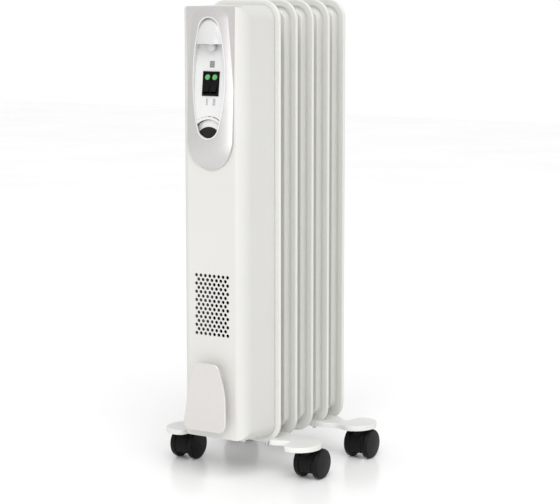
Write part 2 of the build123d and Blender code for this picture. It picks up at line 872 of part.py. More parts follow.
def make_fittings():
    """The terminal block and the thermal cut-out, both on the heat shield."""
    rear = shield_y
    front = rear - terminal_depth
    height = (terminal_bottom, terminal_top)
    terminals = block((-terminal_width / 2, terminal_width / 2), (front, rear), height)
    middle = (terminal_bottom + terminal_top) / 2
    for x in (-terminal_pitch, 0, terminal_pitch):
        terminals -= y_cylinder(terminal_hole_radius, front - 1, front + terminal_hole_depth, x, middle)
    save("terminal_block", terminals)
    disc = y_cylinder(cutout_radius, rear - cutout_height, rear, 0, cutout_z)
    boss_front = rear - cutout_height - cutout_boss_height
    disc += y_cylinder(cutout_boss_radius, boss_front, rear - cutout_height, 0, cutout_z)
    tabs = (rear - 8, rear - 8 + spade_sheet)
    disc += block((-terminal_pitch, terminal_pitch), tabs, (cutout_z - 3, cutout_z + 3))
    save("thermal_cutout", disc)


def wire(points, radius):
    """A round insulated wire along straight runs joined by arcs."""
    runs = [(Vector(*b) - Vector(*a)).length for a, b in zip(points, points[1:])]
    bends = []
    for index in range(1, len(points) - 1):
        before = Vector(*points[index]) - Vector(*points[index - 1])
        after = Vector(*points[index + 1]) - Vector(*points[index])
        half_turn = math.radians(before.get_angle(after)) / 2
        bends.append(0.45 * min(runs[index - 1], runs[index]) / math.tan(half_turn))
    path = FilletPolyline(*points, radius=bends)
    direction = Vector(*points[1]) - Vector(*points[0])
    start = Plane(origin=points[0], z_dir=direction)
    return sweep(start * Circle(radius), path=path)


def make_wires():
    """The insulated wires from the terminal block up to the switch, cut-out and thermostat."""
    routes = [
        [(-12, -30, 166.3), (-14, -34, 200), (-20, -38, 250), (-26, -40, 320), (-30, -42, 390),
         (-31, -44, 440), (-27, -46, 480), (-18, -46, 498)],
        [(12, -30, 166.3), (14, -34, 200), (20, -38, 250), (26, -40, 320), (30, -42, 390),
         (31, -44, 440), (27, -46, 480), (18, -46, 498)],
        [(0, -30, 166.3), (2, -28, 210), (8, -26, 270), (14, -25, 340), (18, -25, 410), (16, -26, 470)],
    ]
    save("internal_wires", *[wire(route, wire_radius) for route in routes])


# ---------------------------------------------------------------- feet


def foot_outline(middle, neck, shift, inset):
    """A foot plate from above: its middle section narrows to a neck and widens to a round wing."""
    wing_x = foot_half_length - wing_half_x
    reach_x = wing_half_x - inset
    reach_y = wing_half_y - inset
    wing = []
    for angle in range(120, -121, -30):
        turn = math.radians(angle)
        wing.append((wing_x + reach_x * math.cos(turn), shift + reach_y * math.sin(turn)))
    between = (foot_middle_x + foot_neck_x) / 2
    points = [
        (foot_middle_x, middle[1] - inset),
        (between, (middle[1] + neck[1]) / 2 - inset),
        (foot_neck_x, neck[1] - inset),
        *wing,
        (foot_neck_x, neck[0] + inset),
        (between, (middle[0] + neck[0]) / 2 + inset),
        (foot_middle_x, middle[0] + inset),
    ]
    right = Spline(*points, tangents=[(1, 0), (-1, 0)])
    left = Spline(*[(-x, y) for x, y in reversed(points)], tangents=[(-1, 0), (1, 0)])
    front = Line(points[-1], (-foot_middle_x, middle[0] + inset))
    rear = Line((-foot_middle_x, middle[1] - inset), points[0])
    return make_face([right, front, left, rear])


def foot(y, middle, neck, shift, fins, bolt_y):
    """A pressed foot: a flat winged plate with a turned-down lip, slots for fins and bolt holes."""
    height = foot_lip + foot_sheet
    form = extrude(foot_outline(middle, neck, shift, 0), height)
    form = fillet(form.edges().group_by(Axis.Z)[-1], foot_edge)
    form -= extrude(foot_outline(middle, neck, shift, foot_sheet), foot_lip)
    base = foot_top - height
    plate = Pos(0, y, base) * form
    half = fin_half_width_at(foot_top) + fin_slot_gap
    reach = rim_depth + fin_slot_gap
    for fin in fins:
        level = fin * fin_pitch
        plate -= block((-half, half), (level - reach, level + reach), (base - 1, foot_top + 1))
    under_housing = (housing_front, housing_rear + fit_gap)
    plate -= block((-half, half), under_housing, (base - 1, foot_top + 1))
    for x in (-bolt_bend, bolt_bend):
        plate -= z_cylinder(bolt_rod + 0.4, base - 1, foot_top + 1, x, bolt_y)
    for x in (-caster_x, caster_x):
        plate -= z_cylinder(stem_radius + 0.1, base - 1, foot_top - 0.6, x, y)
    return plate


def fin_half_width_at(z):
    """Half of the fin's width at a height inside its lower corner."""
    drop = fin_bottom + fin_corner - z
    return fin_width / 2 - fin_corner + math.sqrt(fin_corner**2 - drop**2)


def u_bolt(y):
    """The bolt that hangs a foot from the lower header between two fins."""
    legs_bottom = foot_top - bolt_below
    path = Line((-bolt_bend, y, legs_bottom), (-bolt_bend, y, header_low))
    path += ThreePointArc(
        (-bolt_bend, y, header_low), (0, y, header_low + bolt_bend), (bolt_bend, y, header_low)
    )
    path += Line((bolt_bend, y, header_low), (bolt_bend, y, legs_bottom))
    start = Plane(origin=(-bolt_bend, y, legs_bottom), z_dir=(0, 0, 1))
    return sweep(start * Circle(bolt_rod), path=path)


def wing_nut(x, y):
    """A wing nut under the foot plate."""
    top = foot_top - foot_sheet
    nut = z_cylinder(wing_nut_radius, top - wing_nut_height, top, x, y)
    for side in (-1, 1):
        wing = Box(nut_wing_length, nut_wing_sheet, nut_wing_height)
        wing = fillet(wing.edges().filter_by(Axis.Y), 1.6)
        nut += Pos(x + side * nut_wing_reach, y, top - wing_nut_height - 0.5) * wing
    return nut - z_cylinder(bolt_rod + running_gap, top - 10, top + 1, x, y)


def make_feet():
    """The front and rear foot with their bolts, nuts and caster sockets."""
    front_bolt = fin_pitch / 2
    rear_bolt = fin_pitch * (fin_count - 1.5)
    save("front_foot", foot(front_foot_y, front_middle, front_neck, -wing_shift, [0], front_bolt))
    save("rear_foot", foot(rear_foot_y, rear_middle, rear_neck, wing_shift, [fin_count - 2], rear_bolt))
    bolts = (front_bolt, rear_bolt)
    save("u_bolts", *[u_bolt(y) for y in bolts])
    save("wing_nuts", *[wing_nut(x, y) for y in bolts for x in (-bolt_bend, bolt_bend)])
    sockets = []
    stems = []
    under = foot_top - foot_sheet
    collar_bottom = hood_top + fit_gap
    collar_top = collar_bottom + stem_collar_height
    for y in (front_foot_y, rear_foot_y):
        for x in (-caster_x, caster_x):
            socket = z_cylinder(socket_radius, collar_top, under, x, y)
            sockets.append(socket - z_cylinder(stem_radius + running_gap, 30, under + 1, x, y))
            stem = z_cylinder(stem_radius, stem_bottom, under + 0.6, x, y)
            stem += z_cylinder(stem_collar_radius, collar_bottom, collar_top, x, y)
            stems.append(stem)
    save("caster_sockets", *sockets)
    save("caster_stems", *stems)


# ---------------------------------------------------------------- casters


def caster_hood():
    """The hood between a caster's wheels, built about the stem's axis on the floor."""
    axle = caster_trail
    hood = x_cylinder(hood_radius, -hood_half_width, hood_half_width, axle, wheel_radius)
    wide = (-hood_half_width - 1, hood_half_width + 1)
    hood -= block(wide, (-40, 60), (-1, hood_cut_z))
    hood -= block(wide, (axle + hood_rear, 60), (-1, 60))
    rounded = hood.edges().filter_by(GeomType.CIRCLE).filter_by(lambda edge: edge.radius > 15)
    hood = fillet(rounded, hood_rounding)
    hood += z_cylinder(stem_collar_radius + 1.4, wheel_radius, hood_top, 0, 0)
    hood -= z_cylinder(stem_radius + running_gap, stem_bottom - 1, hood_top + 1)
    hood -= x_cylinder(axle_radius + running_gap, -20, 20, axle, wheel_radius)
    return hood


def caster_wheel(side):
    """One wheel: a tread, a rounded shoulder and a slightly domed outer face."""
    shoulder = wheel_radius - wheel_shoulder
    edge = wheel_radius - wheel_edge
    rounding = wheel_tread + 2.1
    dome_edge = wheel_tread + 3.0
    profile = make_face(
        [
            Line((0, wheel_inner), (edge, wheel_inner)),
            Line((edge, wheel_inner), (wheel_radius, wheel_inner + wheel_edge)),
            Line((wheel_radius, wheel_inner + wheel_edge), (wheel_radius, wheel_tread)),
            ThreePointArc((wheel_radius, wheel_tread), (edge, rounding), (shoulder, dome_edge)),
            dome_arc(shoulder, dome_edge, wheel_outer),
            Line((0, wheel_outer), (0, wheel_inner)),
        ]
    )
    wheel = Rot(0, 0, -90) * revolve(profile, Axis.Y)
    wheel -= x_cylinder(axle_radius + running_gap, 0, axle_half_length + 0.3)
    well_end = wheel_inner + wheel_well_depth
    well = x_cylinder(wheel_radius - wheel_well_wall, wheel_inner, well_end)
    well -= x_cylinder(axle_radius + 2, wheel_inner, well_end)
    wheel -= well
    if side < 0:
        wheel = mirror(wheel, about=Plane.YZ)
    return Pos(0, caster_trail, wheel_radius) * wheel


def make_casters():
    """Four casters: each a hood on its fixed stem, an axle and two wheels."""
    hood = caster_hood()
    axle = x_cylinder(axle_radius, -axle_half_length, axle_half_length, caster_trail, wheel_radius)
    left = caster_wheel(-1)
    right = caster_wheel(1)
    for end, y in (("front", front_foot_y), ("rear", rear_foot_y)):
        for hand, x in (("left", -caster_x), ("right", caster_x)):
            place = Pos(x, y, 0)
            save(f"hood_{end}_{hand}", place * hood)
            save(f"axle_{end}_{hand}", place * axle)
            save(f"wheel_{end}_{hand}_a", place * left)
            save(f"wheel_{end}_{hand}_b", place * right)


make_fins()
make_elements()
make_oil()
make_header_caps()
make_housing()
make_gland()
make_brackets()
make_hook()
make_panel()
make_switch()
make_thermostat()
make_fittings()
make_wires()
make_feet()
make_casters()
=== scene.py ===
"""Looks of the oil filled radiator heater: materials, panel prints, light, floor and camera."""

import json
import math

import bmesh
import bpy
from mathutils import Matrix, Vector


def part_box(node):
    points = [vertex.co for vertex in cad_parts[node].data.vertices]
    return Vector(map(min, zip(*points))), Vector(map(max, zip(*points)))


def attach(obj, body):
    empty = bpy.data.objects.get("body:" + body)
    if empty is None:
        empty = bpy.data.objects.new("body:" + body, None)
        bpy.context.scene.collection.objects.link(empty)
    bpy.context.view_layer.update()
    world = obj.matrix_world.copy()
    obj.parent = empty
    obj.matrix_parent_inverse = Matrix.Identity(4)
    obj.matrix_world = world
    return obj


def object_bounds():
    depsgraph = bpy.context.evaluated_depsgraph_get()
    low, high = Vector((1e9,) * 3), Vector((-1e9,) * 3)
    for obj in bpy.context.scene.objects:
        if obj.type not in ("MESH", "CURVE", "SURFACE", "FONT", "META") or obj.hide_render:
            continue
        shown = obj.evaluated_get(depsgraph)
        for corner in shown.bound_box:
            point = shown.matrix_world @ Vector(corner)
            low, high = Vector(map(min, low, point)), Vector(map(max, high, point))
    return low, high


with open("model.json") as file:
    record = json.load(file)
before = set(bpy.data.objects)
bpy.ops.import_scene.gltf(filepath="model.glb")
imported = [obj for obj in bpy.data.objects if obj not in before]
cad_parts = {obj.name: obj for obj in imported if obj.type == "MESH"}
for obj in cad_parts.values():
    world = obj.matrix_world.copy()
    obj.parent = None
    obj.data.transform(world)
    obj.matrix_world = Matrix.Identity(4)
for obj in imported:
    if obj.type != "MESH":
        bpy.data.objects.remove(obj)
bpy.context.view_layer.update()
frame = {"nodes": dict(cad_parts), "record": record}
nodes = frame["nodes"]
record = frame["record"]
scene = bpy.context.scene

# ------------------------------------------------------------------ materials

# Relief depths and radii are in metres. Pattern scales are repeats per metre.
EDGE_DOT_SHARP = 0.90
EDGE_DOT_FLAT = 0.995
PAINT_EDGE_RADIUS = 0.0012
PLASTIC_EDGE_RADIUS = 0.0006
PAINT_CLOUDS = 7.0
PAINT_WAVES = 420.0
PAINT_GRAIN = 1500.0
PAINT_COAT = 0.12
PAINT_GRAIN_SHARE = 0.4
PAINT_WORN_TONE = 0.93
PLASTIC_CLOUDS = 20.0
PLASTIC_WORN_GAIN = 1.06
PLASTIC_WORN_LIFT = 0.004
MICA_FLAKES = 6000.0
PEARL_WAVES = 700.0
PEARL_WAVE_DEPTH = 0.00002
METAL_MOTTLE = 90.0
METAL_LINES = 900.0
METAL_LINE_DEPTH = 0.00003
LENS_GRAIN = 900.0
LENS_GRAIN_DEPTH = 0.00005
LENS_GLOW = 0.15
OIL_SWIRL = 12.0
OIL_CLARITY = 0.6


def start_material(name):
    """A new material, its node tree, its shader and the piece's own coordinates."""
    mat = bpy.data.materials.new(name)
    mat.use_nodes = True
    tree = mat.node_tree
    shader = tree.nodes["Principled BSDF"]
    coords = tree.nodes.new("ShaderNodeTexCoord")
    return mat, tree, shader, coords.outputs["Object"]


def noise(tree, coords, scale, detail=4.0, stretch=(1, 1, 1)):
    """A noise pattern in metres, which can be stretched along an axis."""
    mapping = tree.nodes.new("ShaderNodeMapping")
    mapping.inputs["Scale"].default_value = stretch
    tree.links.new(coords, mapping.inputs["Vector"])
    node = tree.nodes.new("ShaderNodeTexNoise")
    node.inputs["Scale"].default_value = scale
    node.inputs["Detail"].default_value = detail
    tree.links.new(mapping.outputs["Vector"], node.inputs["Vector"])
    return node.outputs["Fac"]


def remap(tree, value, low, high, from_low=0.3, from_high=0.7):
    """A pattern's values mapped to a new range."""
    node = tree.nodes.new("ShaderNodeMapRange")
    node.inputs["From Min"].default_value = from_low
    node.inputs["From Max"].default_value = from_high
    node.inputs["To Min"].default_value = low
    node.inputs["To Max"].default_value = high
    tree.links.new(value, node.inputs["Value"])
    return node.outputs["Result"]


def two_tones(tree, value, dark, light, from_low=0.35, from_high=0.65):
    """A colour that runs between two tones along a pattern."""
    ramp = tree.nodes.new("ShaderNodeValToRGB")
    ramp.color_ramp.elements[0].position = from_low
    ramp.color_ramp.elements[0].color = (*dark, 1)
    ramp.color_ramp.elements[1].position = from_high
    ramp.color_ramp.elements[1].color = (*light, 1)
    tree.links.new(value, ramp.inputs["Fac"])
    return ramp.outputs["Color"]


def bump(tree, shader, value, distance, strength=1.0, chained=None):
    """Surface relief from a pattern, its depth in metres."""
    node = tree.nodes.new("ShaderNodeBump")
    node.inputs["Distance"].default_value = distance
    node.inputs["Strength"].default_value = strength
    tree.links.new(value, node.inputs["Height"])
    if chained is not None:
        tree.links.new(chained, node.inputs["Normal"])
    tree.links.new(node.outputs["Normal"], shader.inputs["Normal"])
    return node.outputs["Normal"]


def edge_wear(tree, colour, worn, amount, radius):
    """A slightly different tone along sharp edges, where a finish lies thin."""
    bevel = tree.nodes.new("ShaderNodeBevel")
    bevel.inputs["Radius"].default_value = radius
    geometry = tree.nodes.new("ShaderNodeNewGeometry")
    dot = tree.nodes.new("ShaderNodeVectorMath")
    dot.operation = "DOT_PRODUCT"
    tree.links.new(bevel.outputs["Normal"], dot.inputs[0])
    tree.links.new(geometry.outputs["Normal"], dot.inputs[1])
    flatness = dot.outputs["Value"]
    share = remap(
        tree, flatness, low=amount, high=0.0, from_low=EDGE_DOT_SHARP, from_high=EDGE_DOT_FLAT
    )
    mix = tree.nodes.new("ShaderNodeMix")
    mix.data_type = "RGBA"
    mix.inputs["B"].default_value = (*worn, 1)
    tree.links.new(share, mix.inputs["Factor"])
    tree.links.new(colour, mix.inputs["A"])
    return mix.outputs["Result"]


def paint(name, dark, light, peel, roughness):
    """Powder-coated sheet steel: fine orange peel, faint cloudiness, thinner paint on edges."""
    mat, tree, shader, coords = start_material(name)
    clouds = noise(tree, coords, PAINT_CLOUDS, detail=3.0)
    colour = two_tones(tree, clouds, dark, light)
    worn = tuple(channel * PAINT_WORN_TONE for channel in light)
    edged = edge_wear(tree, colour, worn, amount=0.5, radius=PAINT_EDGE_RADIUS)
    tree.links.new(edged, shader.inputs["Base Color"])
    grain = noise(tree, coords, PAINT_GRAIN, detail=2.0)
    waves = noise(tree, coords, PAINT_WAVES, detail=3.0)
    first = bump(tree, shader, waves, distance=peel, strength=0.5)
    bump(tree, shader, grain, distance=peel * PAINT_GRAIN_SHARE, strength=0.4, chained=first)
    roughness_map = remap(tree, waves, low=roughness - 0.04, high=roughness + 0.05)
    tree.links.new(roughness_map, shader.inputs["Roughness"])
    shader.inputs["Coat Weight"].default_value = PAINT_COAT
    shader.inputs["Coat Roughness"].default_value = 0.12
    return mat


def plastic(name, dark, light, roughness, texture_scale, texture_depth, coat=0.0, gloss=0.5):
    """Moulded plastic with its fine moulded texture and a faint variation of tone."""
    mat, tree, shader, coords = start_material(name)
    clouds = noise(tree, coords, PLASTIC_CLOUDS, detail=3.0)
    colour = two_tones(tree, clouds, dark, light)
    lifted = tuple(min(1.0, channel * PLASTIC_WORN_GAIN + PLASTIC_WORN_LIFT) for channel in light)
    edged = edge_wear(tree, colour, lifted, amount=0.5, radius=PLASTIC_EDGE_RADIUS)
    tree.links.new(edged, shader.inputs["Base Color"])
    texture = noise(tree, coords, texture_scale, detail=3.0)
    bump(tree, shader, texture, distance=texture_depth, strength=0.6)
    roughness_map = remap(tree, texture, low=roughness - 0.05, high=roughness + 0.06)
    tree.links.new(roughness_map, shader.inputs["Roughness"])
    shader.inputs["Specular IOR Level"].default_value = gloss
    shader.inputs["Coat Weight"].default_value = coat
    shader.inputs["Coat Roughness"].default_value = 0.08
    return mat


def pearl(name, dark, light, metallic):
    """Pearl lacquer on plastic: fine mica flakes under a clear coat."""
    mat, tree, shader, coords = start_material(name)
    flakes = tree.nodes.new("ShaderNodeTexVoronoi")
    flakes.inputs["Scale"].default_value = MICA_FLAKES
    tree.links.new(coords, flakes.inputs["Vector"])
    spread = tree.nodes.new("ShaderNodeSeparateColor")
    tree.links.new(flakes.outputs["Color"], spread.inputs["Color"])
    colour = two_tones(tree, spread.outputs["Red"], dark, light, from_low=0.1, from_high=0.9)
    edged = edge_wear(tree, colour, light, amount=0.4, radius=PLASTIC_EDGE_RADIUS)
    tree.links.new(edged, shader.inputs["Base Color"])
    roughness_map = remap(tree, spread.outputs["Green"], low=0.28, high=0.42, from_low=0.0, from_high=1.0)
    tree.links.new(roughness_map, shader.inputs["Roughness"])
    bump(tree, shader, noise(tree, coords, PEARL_WAVES, detail=2.0), distance=PEARL_WAVE_DEPTH, strength=0.3)
    shader.inputs["Metallic"].default_value = metallic
    shader.inputs["Coat Weight"].default_value = 0.35
    shader.inputs["Coat Roughness"].default_value = 0.1
    return mat


def metal(name, dark, light, roughness, stretch):
    """Bare or plated metal with drawn lines along one axis and a mottled tone."""
    mat, tree, shader, coords = start_material(name)
    mottled = noise(tree, coords, METAL_MOTTLE, detail=5.0)
    tree.links.new(two_tones(tree, mottled, dark, light), shader.inputs["Base Color"])
    lines = noise(tree, coords, METAL_LINES, detail=2.0, stretch=stretch)
    roughness_map = remap(tree, lines, low=roughness - 0.08, high=roughness + 0.1)
    tree.links.new(roughness_map, shader.inputs["Roughness"])
    bump(tree, shader, lines, distance=METAL_LINE_DEPTH, strength=0.5)
    shader.inputs["Metallic"].default_value = 1.0
    return mat


def lens_material():
    """Green lamp lens with a faint glow and a moulded grain."""
    mat, tree, shader, coords = start_material("lens_green")
    cells = noise(tree, coords, LENS_GRAIN, detail=2.0)
    body = two_tones(tree, cells, (0.05, 0.26, 0.07), (0.15, 0.42, 0.16))
    glow = two_tones(tree, cells, (0.04, 0.24, 0.06), (0.12, 0.45, 0.14))
    tree.links.new(body, shader.inputs["Base Color"])
    roughness_map = remap(tree, cells, low=0.12, high=0.2)
    tree.links.new(roughness_map, shader.inputs["Roughness"])
    tree.links.new(glow, shader.inputs["Emission Color"])
    shader.inputs["Emission Strength"].default_value = LENS_GLOW
    bump(tree, shader, cells, distance=LENS_GRAIN_DEPTH, strength=0.5)
    return mat


def oil_material():
    """Clear amber oil, sealed inside the fins."""
    mat, tree, shader, coords = start_material("oil_amber")
    swirl = noise(tree, coords, OIL_SWIRL, detail=3.0)
    amber = two_tones(tree, swirl, (0.70, 0.48, 0.14), (0.86, 0.66, 0.26))
    tree.links.new(amber, shader.inputs["Base Color"])
    roughness_map = remap(tree, swirl, low=0.04, high=0.08)
    tree.links.new(roughness_map, shader.inputs["Roughness"])
    shader.inputs["Transmission Weight"].default_value = OIL_CLARITY
    return mat


fin_paint = paint(
    "paint_fins",
    dark=(0.665, 0.665, 0.63),
    light=(0.69, 0.69, 0.66),
    peel=0.00006,
    roughness=0.34,
)
shell_paint = paint(
    "paint_housing",
    dark=(0.64, 0.635, 0.607),
    light=(0.665, 0.66, 0.635),
    peel=0.00004,
    roughness=0.36,
)
foot_paint = paint(
    "paint_feet",
    dark=(0.70, 0.70, 0.68),
    light=(0.73, 0.73, 0.71),
    peel=0.00005,
    roughness=0.36,
)
gland_plastic = plastic(
    "plastic_gland",
    dark=(0.595, 0.565, 0.535),
    light=(0.63, 0.605, 0.58),
    roughness=0.34,
    texture_scale=1400.0,
    texture_depth=0.00003,
    coat=0.15,
)
hook_pearl = pearl(
    "pearl_hook",
    dark=(0.56, 0.54, 0.52),
    light=(0.72, 0.70, 0.68),
    metallic=0.3,
)
surround_pearl = pearl(
    "pearl_surround",
    dark=(0.51, 0.495, 0.485),
    light=(0.67, 0.655, 0.645),
    metallic=0.62,
)
dial_pearl = pearl(
    "pearl_dial",
    dark=(0.70, 0.69, 0.68),
    light=(0.86, 0.85, 0.84),
    metallic=0.35,
)
fascia_white = plastic(
    "plastic_fascia",
    dark=(0.665, 0.67, 0.66),
    light=(0.69, 0.695, 0.69),
    roughness=0.26,
    texture_scale=1600.0,
    texture_depth=0.00002,
    coat=0.25,
)
visor_white = plastic(
    "plastic_visor",
    dark=(0.575, 0.58, 0.575),
    light=(0.61, 0.615, 0.61),
    roughness=0.24,
    texture_scale=1600.0,
    texture_depth=0.00002,
    coat=0.3,
)
switch_black = plastic(
    "plastic_switch",
    dark=(0.002, 0.002, 0.002),
    light=(0.005, 0.005, 0.005),
    roughness=0.42,
    texture_scale=2600.0,
    texture_depth=0.00004,
    coat=0.0,
    gloss=0.12,
)
rocker_black = plastic(
    "plastic_rocker",
    dark=(0.003, 0.003, 0.003),
    light=(0.006, 0.006, 0.007),
    roughness=0.30,
    texture_scale=2200.0,
    texture_depth=0.00002,
    coat=0.02,
    gloss=0.12,
)
cap_black = plastic(
    "plastic_dial_cap",
    dark=(0.005, 0.005, 0.005),
    light=(0.024, 0.022, 0.019),
    roughness=0.48,
    texture_scale=1500.0,
    texture_depth=0.00012,
    coat=0.0,
    gloss=0.15,
)
fitting_black = plastic(
    "plastic_fittings",
    dark=(0.03, 0.03, 0.03),
    light=(0.05, 0.05, 0.048),
    roughness=0.45,
    texture_scale=1200.0,
    texture_depth=0.00005,
)
fitting_cream = plastic(
    "plastic_terminals",
    dark=(0.62, 0.58, 0.46),
    light=(0.70, 0.66, 0.54),
    roughness=0.42,
    texture_scale=1100.0,
    texture_depth=0.00005,
)
hood_black = plastic(
    "plastic_caster_hood",
    dark=(0.004, 0.004, 0.004),
    light=(0.008, 0.008, 0.009),
    roughness=0.42,
    texture_scale=1300.0,
    texture_depth=0.00006,
    coat=0.0,
    gloss=0.12,
)
wheel_black = plastic(
    "plastic_caster_wheel",
    dark=(0.003, 0.003, 0.003),
    light=(0.006, 0.006, 0.007),
    roughness=0.34,
    texture_scale=900.0,
    texture_depth=0.00004,
    coat=0.03,
    gloss=0.12,
)
gasket_black = plastic(
    "rubber_gasket",
    dark=(0.03, 0.03, 0.03),
    light=(0.06, 0.06, 0.058),
    roughness=0.7,
    texture_scale=700.0,
    texture_depth=0.0001,
)
# Painted shade: the wires are near-black so that they look like the shade inside the vent holes.
wires_painted_shade = plastic(
    "silicone_wire_painted_shade",
    dark=(0.02, 0.02, 0.02),
    light=(0.035, 0.035, 0.035),
    roughness=0.5,
    texture_scale=1600.0,
    texture_depth=0.00004,
)
zinc_upright = metal(
    "zinc_plated_upright",
    dark=(0.52, 0.52, 0.54),
    light=(0.70, 0.70, 0.71),
    roughness=0.34,
    stretch=(1, 1, 0.05),
)
zinc_across = metal(
    "zinc_plated_across",
    dark=(0.52, 0.52, 0.54),
    light=(0.70, 0.70, 0.71),
    roughness=0.32,
    stretch=(0.05, 1, 1),
)
# Painted shade: the heat shield gets a near-black tone so that the vent holes look dark, where a real shield
# is bright galvanised steel.
shield_painted_shade = metal(
    "heat_shield_painted_shade",
    dark=(0.03, 0.03, 0.032),
    light=(0.06, 0.06, 0.062),
    roughness=0.4,
    stretch=(0.1, 1, 1),
)
element_steel = metal(
    "element_sheath",
    dark=(0.30, 0.29, 0.28),
    light=(0.48, 0.46, 0.44),
    roughness=0.45,
    stretch=(1, 0.05, 1),
)
plug_brass = metal(
    "turned_brass",
    dark=(0.56, 0.40, 0.16),
    light=(0.74, 0.56, 0.26),
    roughness=0.3,
    stretch=(1, 0.1, 1),
)
print_grey = plastic(
    "print_grey",
    dark=(0.10, 0.10, 0.105),
    light=(0.15, 0.15, 0.155),
    roughness=0.5,
    texture_scale=1800.0,
    texture_depth=0.00001,
)
lens_green = lens_material()
oil_amber = oil_material()


def finish_of(name):
    """The material for a CAD node, by what the node is."""
    by_name = {
        "housing_shell": shell_paint,
        "front_foot": foot_paint,
        "rear_foot": foot_paint,
        "header_caps": fin_paint,
        "header_collars": fin_paint,
        "cord_hook": hook_pearl,
        "surround": surround_pearl,
        "dial_skirt": dial_pearl,
        "fascia": fascia_white,
        "visor": visor_white,
        "switch_body": switch_black,
        "rocker_left": rocker_black,
        "rocker_right": rocker_black,
        "dial_cap": cap_black,
        "rocker_lens_left": lens_green,
        "rocker_lens_right": lens_green,
        "terminal_block": fitting_cream,
        "thermostat_body": fitting_black,
        "thermal_cutout": fitting_black,
        "cord_gland": gland_plastic,
        "element_gasket": gasket_black,
        "internal_wires": wires_painted_shade,
        "element_plug": plug_brass,
        "heat_shield": shield_painted_shade,
        "heating_elements": element_steel,
        "oil_charge": oil_amber,
        "u_bolts": zinc_upright,
        "wing_nuts": zinc_upright,
        "caster_stems": zinc_upright,
        "caster_sockets": zinc_upright,
        "housing_brackets": zinc_upright,
        "housing_screws": zinc_upright,
        "filler_plug": zinc_across,
        "dial_shaft": zinc_across,
    }
    if name in by_name:
        return by_name[name]
    for start, material in (
        ("fin_", fin_paint),
        ("hood_", hood_black),
        ("wheel_", wheel_black),
        ("axle_", zinc_across),
    ):
        if name.startswith(start):
            return material
    raise ValueError(f"no finish for {name}")


for name, node in nodes.items():
    node.data.materials.clear()
    node.data.materials.append(finish_of(name))

# ------------------------------------------------------------------ panel prints

# The fascia leans back by FASCIA_TILT, and its face is hollow across, with the radius FASCIA_HOLLOW.
# The rockers' pivot lies PIVOT_DEPTH behind that face.
FASCIA_TILT = math.radians(6.4)
FASCIA_HOLLOW = 0.120
PIVOT_DEPTH = 0.0025
PRINT_SINK = 0.00004
PRINT_RISE = 0.00010
ICON_RISE = 0.0088
ICON_BARS = 5
ICON_PITCH = 0.00155
ICON_BAR_WIDTH = 0.00095
ICON_HEIGHT = 0.0084
ICON_RAIL_SPACING = 0.0030
ICON_RAIL_LENGTH = 0.0062
ICON_RAIL_HALF_WIDTH = 0.00035
ICON_RAIL_SPANS = 6
BAR_SPANS = 4
MARK_DROP = 0.0070
MARK_X = 0.0055
MARK_OFFSET = 0.0008
MARK_DASHES = 4
MARK_DASH_PITCH = 0.0022
MARK_DASH_WIDTH = 0.0010
MARK_DASH_HEIGHT = 0.0015
MARK_LINE_WIDTH = 0.0004
MARK_LINE_HEIGHT = 0.0086
MARK_LINE_GAP_SINGLE = 0.0016
MARK_LINE_GAP_DOUBLE = 0.0022
SCALE_RADIUS = 0.0322
SCALE_STEP = 2
# Each dash of the scale: its start and end in degrees clockwise from the top, and its thickness.
SCALE_DASHES = (
    (-31, -25, 0.0003),
    (-22, -16, 0.0004),
    (-13, -7, 0.0005),
    (-4, 7, 0.0008),
    (10, 31, 0.0012),
)

joints = {joint["name"]: joint for joint in record["behaviour"]["joints"]}
rocker_pivot = joints["rocker_left_press"]["pos_m"]
dial_centre = joints["thermostat_turn"]["pos_m"]
panel_normal = Vector((0, -math.cos(FASCIA_TILT), math.sin(FASCIA_TILT)))
panel_up = Vector((0, math.sin(FASCIA_TILT), math.cos(FASCIA_TILT)))
panel_origin = Vector((0, rocker_pivot[1], rocker_pivot[2])) + panel_normal * PIVOT_DEPTH


def on_fascia(x, z, rise):
    """The point of the fascia's hollow face at an x and z, lifted by rise."""
    hollow = FASCIA_HOLLOW - math.sqrt(FASCIA_HOLLOW**2 - x**2)
    up = (z - panel_origin.z - hollow * panel_normal.z) / panel_up.z
    return panel_origin + Vector((x, 0, 0)) + panel_up * up + panel_normal * (hollow + rise)


def print_piece(name, shapes):
    """A thin printed mark on the fascia. Each shape is two rails of (x, z) points to fill between."""
    mesh = bmesh.new()
    for first, second in shapes:
        loops = []
        for rise in (-PRINT_SINK, PRINT_RISE):
            rails = [[mesh.verts.new(on_fascia(x, z, rise)) for x, z in rail] for rail in (first, second)]
            loops.append(rails)
        (low_a, low_b), (top_a, top_b) = loops
        last = len(first) - 1
        for i in range(last):
            mesh.faces.new((top_a[i], top_a[i + 1], top_b[i + 1], top_b[i]))
            mesh.faces.new((low_b[i], low_b[i + 1], low_a[i + 1], low_a[i]))
            mesh.faces.new((low_a[i], low_a[i + 1], top_a[i + 1], top_a[i]))
            mesh.faces.new((top_b[i], top_b[i + 1], low_b[i + 1], low_b[i]))
        mesh.faces.new((low_b[0], low_a[0], top_a[0], top_b[0]))
        mesh.faces.new((low_a[last], low_b[last], top_b[last], top_a[last]))
    bmesh.ops.recalc_face_normals(mesh, faces=mesh.faces)
    data = bpy.data.meshes.new(name)
    mesh.to_mesh(data)
    mesh.free()
    data.materials.append(print_grey)
    piece = bpy.data.objects.new(name, data)
    scene.collection.objects.link(piece)
    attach(piece, "frame")
    return piece


def bar(x, z, width, height):
    """An upright printed bar."""
    half = width / 2
    levels = [z + height * (i / BAR_SPANS - 0.5) for i in range(BAR_SPANS + 1)]
    return [(x - half, level) for level in levels], [(x + half, level) for level in levels]


